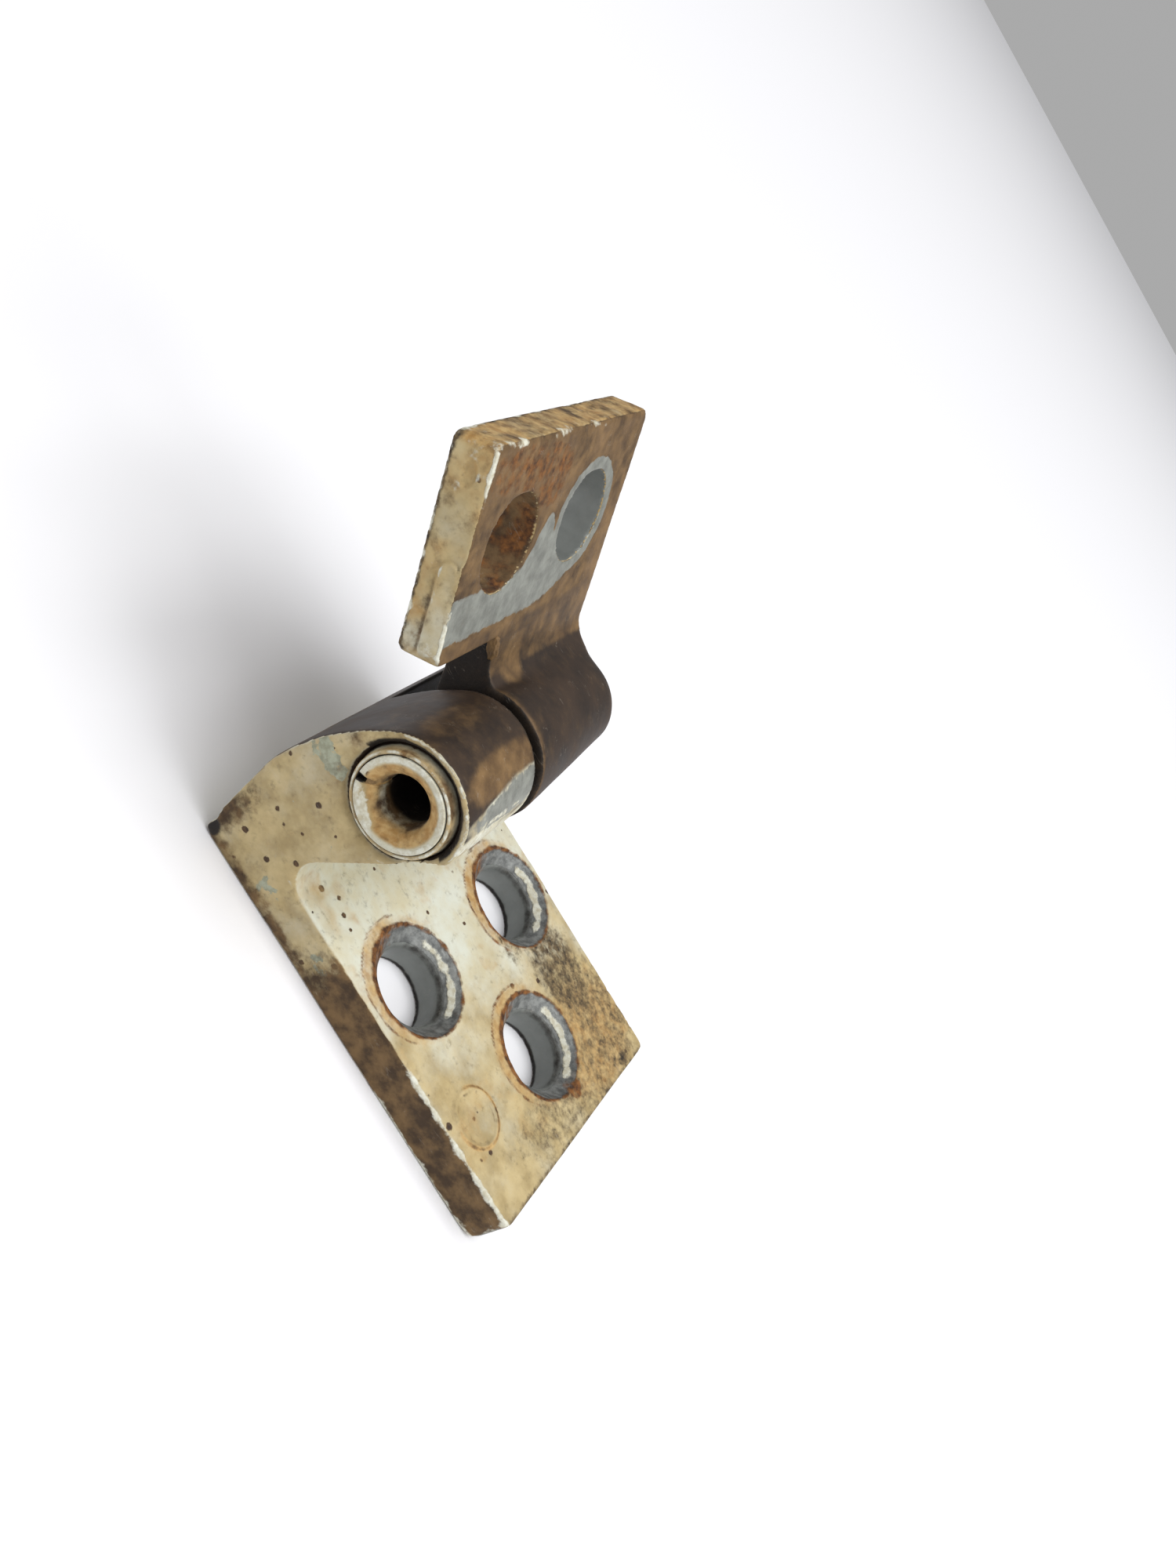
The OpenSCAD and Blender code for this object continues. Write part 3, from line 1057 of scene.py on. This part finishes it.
        # Pale paint and a painted highlight: the lip paled only on its upper right half, toward
        # the lamps.
        lip = front * bell(9.15, 0.42, reach) * ease(-4, 4, x + z - 26)
        self.lay(chalk=0.62 * lip)
        # Painted shadow: the groove round the bush darkened round its upper half.
        groove = ease(-24.9, -24.4, y) * ease(9.0, 8.7, reach) * ease(-21.5, -23.0, y)
        groove = np.maximum(groove, front * bell(8.25, 0.42, reach)) * ease(-14, 6, self.turn)
        self.lay(pitch=0.95 * groove * ease(196, 172, self.turn % 360))
        # Painted shade: the pocket's upward-facing floor darkened under the rear knuckle.
        floor = self.pocket * ease(20, 15.5, reach) * ease(0.2, 0.6, self.normals[:, 2])
        self.lay(pitch=0.74 * floor)


# Up the plate and along the axis.
ORANGE = (Stain(1.0, (41.0, -12), (3.4, 10)), Stain(1.0, (38.5, -3), (5, 6)))
PLATE_SOOT = {Coat.SOOT: (Stain(0.52, (43.4, 2), (1.4, 6)),)}
# Degrees round the rear knuckle, and along it.
# Painted sheen: a pale golden spot on the rear knuckle, toward the notch.
REAR_PAINTED_SHEEN = {Coat.GOLD_AND_SHEEN: (Stain(0.62, (137, 1.5), (12, 3)),)}


@dataclass
class DoorLeaf(Casting):
    """The shorter leaf: a plate with two bolt holes on the tapered rear knuckle."""

    face: float = 2.1
    back: float = 8.0
    near_y: float = -21.0
    top: float = 44.8
    bolt_row: float = 31.0
    bolt_y: Pair = (-9.9, 11.7)
    dimple: tuple[Pair, Pair] = ((40.5, 4.8), (1.5, 0.85))
    step_top: float = 28.6
    step_depth: float = 5.5
    step_bend: float = 1.7

    def local(self, points: Array) -> tuple[Array, Array, Array]:
        """A vertex's height up the plate, its place along the axis and its depth."""
        lifted = points - np.array([0.0, 0.0, AXIS_HEIGHT])
        return lifted @ PLATE_UP, points[:, 1], -(lifted @ PLATE_OUT)

    def near_hole(self, at: Vector) -> bool:
        """True close to a bolt hole."""
        up = at.x * PLATE_UP[0] + (at.z - AXIS_HEIGHT) * PLATE_UP[2]
        return any(math.hypot(up - self.bolt_row, at.y - y) < 8.0 for y in self.bolt_y)

    def blend(self, at: Vector) -> float:
        """Most where the web runs into the tapered knuckle's far end, on the face's side.

        Args:
            at: a place in millimetres.

        Returns:
            A number up to 1, and 0 or less where nothing is blended.
        """
        up = at.x * PLATE_UP[0] + (at.z - AXIS_HEIGHT) * PLATE_UP[2]
        out = at.x * PLATE_OUT[0] + (at.z - AXIS_HEIGHT) * PLATE_OUT[2]
        return min(1.0, (up + 2.0) / 9.0, (17.0 - up) / 4.5, (out + 1.5) / 3.0, (at.y - 2.0) / 9.0)

    def fine_zone(self, at: Vector) -> int:
        """Once on the plate's near end, for the step and the dimple."""
        return 1 if at.y < self.near_y + 0.3 and at.z > AXIS_HEIGHT else 0

    def relief(self, points: Array, normals: Array) -> Array:
        """Casting unevenness, a battered top edge, the dimple and the step's groove.

        Args:
            points: the skin's vertices in millimetres.
            normals: their normals.

        Returns:
            How far each moves outwards.
        """
        up, y, depth = self.local(points)
        middle = turbulence(points, 2.4, 3, 5)
        move = 0.05 * turbulence(points, 10.0, 2, 4) + 0.02 * middle - 0.03
        top = ease(self.top - 1.8, self.top - 0.6, up)
        move -= 0.12 * top * np.maximum(turbulence(points, 3.4, 3, 6), -0.1)
        near = ease(-0.6, -0.9, normals[:, 1]) * ease(self.near_y + 1, self.near_y, y)
        move -= 0.5 * near * spot(up, depth, *self.dimple)
        above = up > self.step_top
        rounded = np.hypot(up - self.step_top, depth - self.step_depth + self.step_bend)
        groove = np.where(above, rounded - self.step_bend, depth - self.step_depth)
        groove = np.where(above & (depth < 2.6), 9.0, groove)
        move -= 0.42 * near * bell(0.0, 0.34, groove) * ease(15.0, 17.0, up)
        edge = ease(1.6, 0.2, depth - self.face) + ease(1.6, 0.2, self.back - depth)
        worn = ease(15, 18, up) * np.clip(edge, 0, 1) * near
        move -= 0.18 * worn * np.maximum(middle, 0)
        return move

    def coats(self, mesh: Mesh) -> Coats:
        """Bare coats with the leaf's regions."""
        return DoorCoats(mesh, self)

    def dress(self, coats: Coats) -> None:
        """Grease and rust on the face, bare metal at the bolts, paint on the edges."""
        coats.lay_all()


class DoorCoats(Coats):
    """The door leaf's coats, with each of its regions as a mask from 0 to 1."""

    def __init__(self, mesh: Mesh, leaf: DoorLeaf) -> None:
        """Finds the regions.

        Args:
            mesh: the finished skin.
            leaf: the leaf, for its sizes.
        """
        super().__init__(mesh)
        up, y, depth = leaf.local(self.points)
        self.up, self.depth = up, depth
        self.out = self.normals @ PLATE_OUT
        self.edge = np.maximum(bend_of(mesh, self.points, self.normals), 0)
        self.face = ease(0.5, 0.85, self.out) * ease(1.2, 1.8, depth) * ease(3.4, 2.8, depth)
        self.plate = ease(15.5, 17.5, up)
        self.rim = self.plate * (1 - self.face)
        self.near_rim = ease(leaf.near_y + 1.6, leaf.near_y + 0.2, y) * self.plate
        self.from_bolts = [np.hypot(up - leaf.bolt_row, y - place) for place in leaf.bolt_y]
        self.wall = ease(7.1, 6.8, np.min(self.from_bolts, axis=0)) * ease(1.6, 2.2, depth)
        self.wall *= ease(0.6, 0.3, np.abs(self.out))
        self.cloud = turbulence(self.points, 6.0, 3, 8)

    def lay_all(self) -> None:
        """Lays every coat."""
        self.bare_face()
        self.grease_knuckle()
        self.paint_edges()

    def bare_face(self) -> None:
        """Browns the mounting face, and bares the metal round the bolts."""
        up, y, face, wall, cloud = self.up, self.y, self.face, self.wall, self.cloud
        low_edge = 19.4 + 0.0195 * np.maximum(y, 0) ** 2
        high_edge = 25.8 + 7.6 * bell(0.9, 3.4, y)
        rubbed = ease(-0.9, 0.9, up - low_edge) * ease(0.9, -0.9, up - high_edge)
        rubbed = np.maximum(rubbed, ease(9.0, 8.0, self.from_bolts[1]))
        self.lay(bare=0.86 * rubbed * face, grime=0.98 * face, bore=wall * ease(4.0, 7.0, y))
        near_wall = wall * ease(4.0, 0.0, y)
        self.lay(grime=near_wall)
        self.lay(rust=near_wall * (0.48 + 0.5 * turbulence(self.points, 3.0, 2, 12)))
        orange = np.clip(summed(ORANGE, up, y), 0, 1) * face
        self.lay(rust=0.50 * orange)
        self.lay(gold=face * (0.44 + 0.30 * orange / np.maximum(face, 0.1) + 0.4 * cloud))
        self.lay(gold=0.74 * face * ease(16.5, 22.0, y) * ease(36, 28, up))
        far_end = self.plate * ease(0.4, 0.8, self.normals[:, 1])
        self.lay(gold=0.7 * far_end * ease(36, 26, up))
        self.thin(Coat.GOLD_AND_SHEEN, rubbed)
        self.lay_stains(PLATE_SOOT, up, y, face)

    def grease_knuckle(self) -> None:
        """Greases the knuckle and web, rubs their edges, paints a sheen spot and paints shade by
        the gap.
        """
        y, knuckle = self.y, 1 - self.plate
        self.lay(grease=knuckle)
        self.lay(grease=0.55 * ease(20.5, 17.5, self.up) * self.face)
        self.lay(gold=knuckle * (0.04 + 0.30 * self.edge + 0.12 * self.cloud))
        self.lay_stains(REAR_PAINTED_SHEEN, self.turn, y, knuckle)
        # Painted shade: the knuckle's faces turned to the near end darkened beside the gap.
        shaded = ease(0.2, 0.7, -self.normals[:, 1]) * ease(-1.5, -3.9, y)
        self.lay(pitch=0.72 * knuckle * shaded)

    def paint_edges(self) -> None:
        """Leaves old cream paint round the plate, dirty on top, chipped at its edges, and a
        painted shadow in the step's groove.
        """
        up, depth, rim, cloud, edge = self.up, self.depth, self.rim, self.cloud, self.edge
        top, near_rim = ease(43.2, 44.4, up), self.near_rim
        self.lay(tint=0.90 + 0.3 * cloud - 0.35 * ease(30, 18, up))
        self.lay(stain=rim * (0.36 + 0.35 * cloud + 0.34 * top), grime=rim * (0.28 + 0.16 * top))
        # Painted shadow: a dark line along the step's groove on the plate's near end.
        groove = bell(5.5, 0.5, depth) * near_rim * ease(29, 27, up) * (1 - self.face)
        self.lay(grime=0.46 * groove)
        back_edge = rim * edge * ease(6.3, 7.6, depth)
        self.lay(soot=0.16 * rim * top + 0.64 * back_edge)
        self.lay(primer=0.42 * back_edge * ease(18, 30, up))
        pale = 0.18 + 0.20 * edge + 0.2 * cloud
        self.lay(chalk=rim * pale * ease(0.5, -0.2, self.out))
        corners = 0.25 + 0.75 * np.maximum(ease(35, 42, up), ease(27, 21, up))
        self.lay(chalk=0.48 * corners * edge * near_rim * ease(3.4, 2.2, depth))
        self.lay(chalk=0.40 * near_rim * ease(26, 17, up) * (1 - self.face))
        ridge = top * ease(4.4, 2.4, depth) * ease(22, -6, self.y)
        self.lay(chalk=(0.46 + 0.4 * cloud) * ridge)
        self.thin(Coat.CHALK_AND_HIGHLIGHT, self.wall)


# -------- turned pieces and grease


@dataclass
class Turned(Piece):
    """A piece turned round the hinge axis, from a closed outline of radius and place."""

    steps: int = 160
    slit: float = 0.0
    slit_at: float = 205.0
    bevel: float = 0.18
    suffix: str = "_turned"
    merge_within: float = 0.001

    def outline(self) -> list[Pair]:
        """The outline's corners: radius from the axis and place along it."""
        raise NotImplementedError

    def shape(self) -> Object:
        """Spins the outline round the axis and bevels its sharp edges.

        Returns:
            The piece's object.
        """
        shape = bmesh.new()
        start = math.radians(self.slit_at + self.slit / 2)
        across = Vector((math.cos(start), 0.0, math.sin(start)))
        corners = [
            shape.verts.new((across * r + Vector((0.0, along, AXIS_HEIGHT))) * MM)
            for r, along in self.outline()
        ]
        nexts = corners[1:] + corners[:1]
        loop = [shape.edges.new(pair) for pair in zip(corners, nexts)]
        section = [shape.faces.new(corners)] if self.slit else []
        bmesh.ops.spin(
            shape, geom=loop + section, cent=Vector((0.0, 0.0, AXIS_HEIGHT)) * MM,
            axis=Vector((0.0, -1.0, 0.0)), angle=2 * math.pi - math.radians(self.slit),
            steps=self.steps, use_merge=not self.slit,
        )
        bmesh.ops.remove_doubles(shape, verts=shape.verts, dist=self.merge_within * MM)
        bmesh.ops.recalc_face_normals(shape, faces=shape.faces)
        closed = [edge for edge in shape.edges if len(edge.link_faces) == 2]
        sharp = [edge for edge in closed if edge.calc_face_angle() > SHARP_ANGLE]
        bmesh.ops.bevel(
            shape, geom=sharp, offset=self.bevel * MM, affect="EDGES", segments=3,
            profile=0.5, material=-1, clamp_overlap=True,
        )
        return add_object(self.node + self.suffix, shape)


@dataclass
class SpringPin(Turned):
    """The slotted spring pin with a flared mouth at each end."""

    outer: float = 6.5
    inner: float = 3.5
    half_length: float = 25.6

    def outline(self) -> list[Pair]:
        """The tube's wall, flared at both ends, with rows along it for its coats.

        Returns:
            The corners in order.
        """
        h = self.half_length
        return [
            (self.outer, -h), (self.outer, -h + 1.5), (self.outer, h - 1.5), (self.outer, h),
            (5.9, h), (5.2, h - 0.15), (4.4, h - 0.7), (3.8, h - 1.4), (self.inner, h - 2.4),
            (self.inner, h - 3.4), (self.inner, h - 6.0), (self.inner, 6.0 - h),
            (self.inner, 4.6 - h), (self.inner, 3.4 - h),
            (self.inner, 2.4 - h), (3.8, 1.4 - h), (4.4, 0.7 - h), (5.2, 0.15 - h), (5.9, -h),
        ]

    def dress(self, coats: Coats) -> None:
        """Cream paint on the ends, stained in the mouth, greased in the bore, with painted shade
        deep in it and in the slit.

        Args:
            coats: the bare coats, which change.
        """
        reach, turn, y = coats.reach, coats.turn % 360, np.abs(coats.y)
        end = ease(self.half_length - 2.6, self.half_length - 0.8, y)
        mouth = ease(5.9, 5.2, reach) * end
        gap = ease(7.0, 4.5, np.abs(turn - self.slit_at)) * ease(4.9, 5.8, reach)
        # A pale patch low in the mouth, with less stain and grime on it.
        pale_patch = spot(turn, reach, (243, 5.3), (34, 0.8)) * end
        coats.lay(tint=0.30 + 0.60 * mouth, stain=0.84 * mouth * (1 - pale_patch))
        coats.lay(grime=0.62 * ease(4.6, 3.5, reach))
        coats.lay(grime=0.34 * mouth * (1 - pale_patch), grease=ease(21.5, 20.0, y))
        coats.lay(chalk=0.56 * ease(5.2, 6.0, reach) * end)
        # The pale patch in the mouth, and painted shade deepening into the bore.
        coats.lay(chalk=0.66 * pale_patch, pitch=ease(23.0, 20.2, y))
        # Painted shade: the slit darkened.
        coats.lay(pitch=0.95 * gap)


@dataclass
class SlotPaint(SpringPin):
    """Paint that bridges the pin's slot inside its near mouth."""

    def outline(self) -> list[Pair]:
        """A wedge that follows the mouth a little below its surface."""
        wedge = ((3.6, 4.0), (3.6, 2.4), (3.9, 1.45), (4.5, 0.75), (5.2, 0.25), (5.3, 4.0))
        return [(r, inwards - self.half_length) for r, inwards in wedge]

    def dress(self, coats: Coats) -> None:
        """Stained brown all over."""
        coats.lay(tint=0.9, stain=0.7, grime=0.45)


@dataclass
class KnuckleBush(Turned):
    """The flanged bush pressed into the front knuckle."""

    outer: float = 7.69
    inner: float = 6.54
    flange: float = 8.49
    near_y: float = -25.4
    flange_y: float = -5.9
    far_y: float = -4.9

    def outline(self) -> list[Pair]:
        """The sleeve, slimmed at its shown end, and its flange.

        Returns:
            The corners in order.
        """
        return [
            (6.85, self.near_y), (self.inner, self.near_y + 0.15), (self.inner, self.far_y),
            (self.flange, self.far_y), (self.flange, self.flange_y),
            (self.outer, self.flange_y), (self.outer, self.near_y + 2.0),
            (7.35, self.near_y + 1.4), (7.25, self.near_y + 0.3), (7.1, self.near_y),
        ]

    def dress(self, coats: Coats) -> None:
        """Cream and brown on the shown end, grease on the flange, painted shade at the seam and
        groove.

        Args:
            coats: the bare coats, which change.
        """
        end = ease(-23.4, -24.4, coats.y)
        seam = ease(6.8, 6.6, coats.reach) * end
        coats.lay(tint=0.70 * end, stain=0.40 * end, grime=0.36 * end)
        # Painted shade: the end's slimmed outer side darkened down into the groove.
        coats.lay(grime=0.62 * end * ease(7.1, 7.3, coats.reach), grease=1 - end)
        # Pale inner edge, and painted shade as a dark line at the seam with the pin.
        coats.lay(chalk=0.52 * end * (1 - seam) * ease(7.3, 7.1, coats.reach), pitch=0.8 * seam)


@dataclass
class GreaseLump(Piece):
    """A lump of old grease caught in the notch between the door leaf's web and plate."""

    at: Triple = (-11.0, -4.9, 41.0)
    half: Triple = (0.9, 0.55, 1.7)
    lean: float = -38.0

    def shape(self) -> Object:
        """Swells a ball unevenly, leans it and seats it in the notch.

        Returns:
            The piece's object.
        """
        shape = bmesh.new()
        bmesh.ops.create_icosphere(shape, subdivisions=4, radius=1.0)
        lean = Matrix.Rotation(math.radians(self.lean), 3, "Y")
        for vertex in shape.verts:
            swell = 1.0 + 0.35 * noise.fractal(vertex.co * 1.3, NOISE_FALL, NOISE_STEP, 3)
            local = Vector(c * h * swell for c, h in zip(vertex.co, self.half))
            vertex.co = (lean @ local + Vector(self.at)) * MM
        return add_object(self.node, shape)

    def dress(self, coats: Coats) -> None:
        """Brown and golden in blotches."""
        cloud = turbulence(coats.points, 1.2, 2, 21)
        coats.lay(grime=0.9, gold=0.7 + 0.4 * cloud, stain=0.5 + cloud)


# -------- the studio


class Softbox(NamedTuple):
    """A square soft light: its name, where it stands and points, its side and its power."""

    name: str
    at: Triple
    to: Triple
    side: float
    watts: float


@dataclass(frozen=True)
class Studio:
    """The floor, the soft lights and the camera."""

    eye: Triple = (-4.978, -154.742, 132.106)
    right: Triple = (0.51550, 0.39932, 0.75816)
    up: Triple = (-0.85221, 0.33123, 0.40499)
    lens: float = 30.684
    clip: Pair = (0.005, 20.0)
    floor_half: float = 3000.0
    floor_tone: Triple = (0.86, 0.86, 0.885)
    floor_roughness: float = 0.85
    sky: float = 0.40
    lights: tuple[Softbox, ...] = (
        Softbox("softbox_top", (500, -100, 3000), (0, 0, 10), 2400, 80),
        Softbox("softbox_side", (1700, -300, 1300), (0, 0, 20), 1000, 11),
        Softbox("softbox_front", (-900, -1500, 900), (0, 0, 20), 800, 0.7),
    )

    def build(self) -> None:
        """Makes the floor, the lights and the camera."""
        self._floor()
        self._world()
        for light in self.lights:
            self._light(light)
        self._camera()
        log.info("studio: floor, three soft lights and the camera")

    def _floor(self) -> None:
        """Lays a large plain pale floor."""
        shape = bmesh.new()
        bmesh.ops.create_grid(shape, x_segments=1, y_segments=1, size=self.floor_half * MM)
        floor = add_object("floor", shape)
        material = bpy.data.materials.new("pale_floor")
        material.use_nodes = True
        shader = material.node_tree.nodes["Principled BSDF"]
        shader.inputs["Base Color"].default_value = (*self.floor_tone, 1.0)
        shader.inputs["Roughness"].default_value = self.floor_roughness
        floor.data.materials.append(material)

    def _world(self) -> None:
        """Lights everything from an even pale sky."""
        world = bpy.data.worlds.new("studio")
        world.use_nodes = True
        back = world.node_tree.nodes["Background"]
        back.inputs["Color"].default_value = (1.0, 1.0, 1.0, 1.0)
        back.inputs["Strength"].default_value = self.sky
        bpy.context.scene.world = world

    def _light(self, light: Softbox) -> None:
        """Stands up one soft light.

        Args:
            light: what it is and where.
        """
        data = bpy.data.lights.new(light.name, "AREA")
        data.shape = "SQUARE"
        data.size = light.side * MM
        data.energy = light.watts
        lamp = bpy.data.objects.new(light.name, data)
        bpy.context.scene.collection.objects.link(lamp)
        start, end = Vector(light.at) * MM, Vector(light.to) * MM
        lamp.location = start
        lamp.rotation_euler = (end - start).to_track_quat("-Z", "Y").to_euler()

    def _camera(self) -> None:
        """Sets up the camera, rolled so that the hinge stands on its corner in the view."""
        data = bpy.data.cameras.new("camera")
        data.lens = self.lens
        data.sensor_width = 36.0
        data.clip_start, data.clip_end = self.clip
        camera = bpy.data.objects.new("camera", data)
        bpy.context.scene.collection.objects.link(camera)
        right, up = Vector(self.right).normalized(), Vector(self.up)
        up = (up - right * up.dot(right)).normalized()
        turn = Matrix((right, up, right.cross(up))).transposed().to_4x4()
        camera.matrix_world = Matrix.Translation(Vector(self.eye) * MM) @ turn
        bpy.context.scene.camera = camera


def main() -> None:
    """Builds every piece in order, then the studio."""
    pieces = (
        BodyLeaf("body_leaf", "body", "painted_leaf", skin=0.42, worn_rounds=4),
        DoorLeaf("door_leaf", "door", "rusted_leaf", skin=0.36, worn_rounds=6),
        SpringPin("hinge_pin", "door", "pin_steel", slit=8.0),
        SlotPaint(
            "hinge_pin", "door", "pin_steel", steps=4, slit=352.0, slit_at=25.0, bevel=0.03,
            suffix="_slot_paint",
        ),
        KnuckleBush("knuckle_bush", "body", "bush_bronze"),
        GreaseLump("notch_grease", "door", "rusted_leaf"),
    )
    effects = Effects()
    for piece in pieces:
        piece.build(WORN, effects)
    Studio().build()
    bpy.context.scene.view_settings.view_transform = "Standard"


if __name__ == "__main__":
    main()
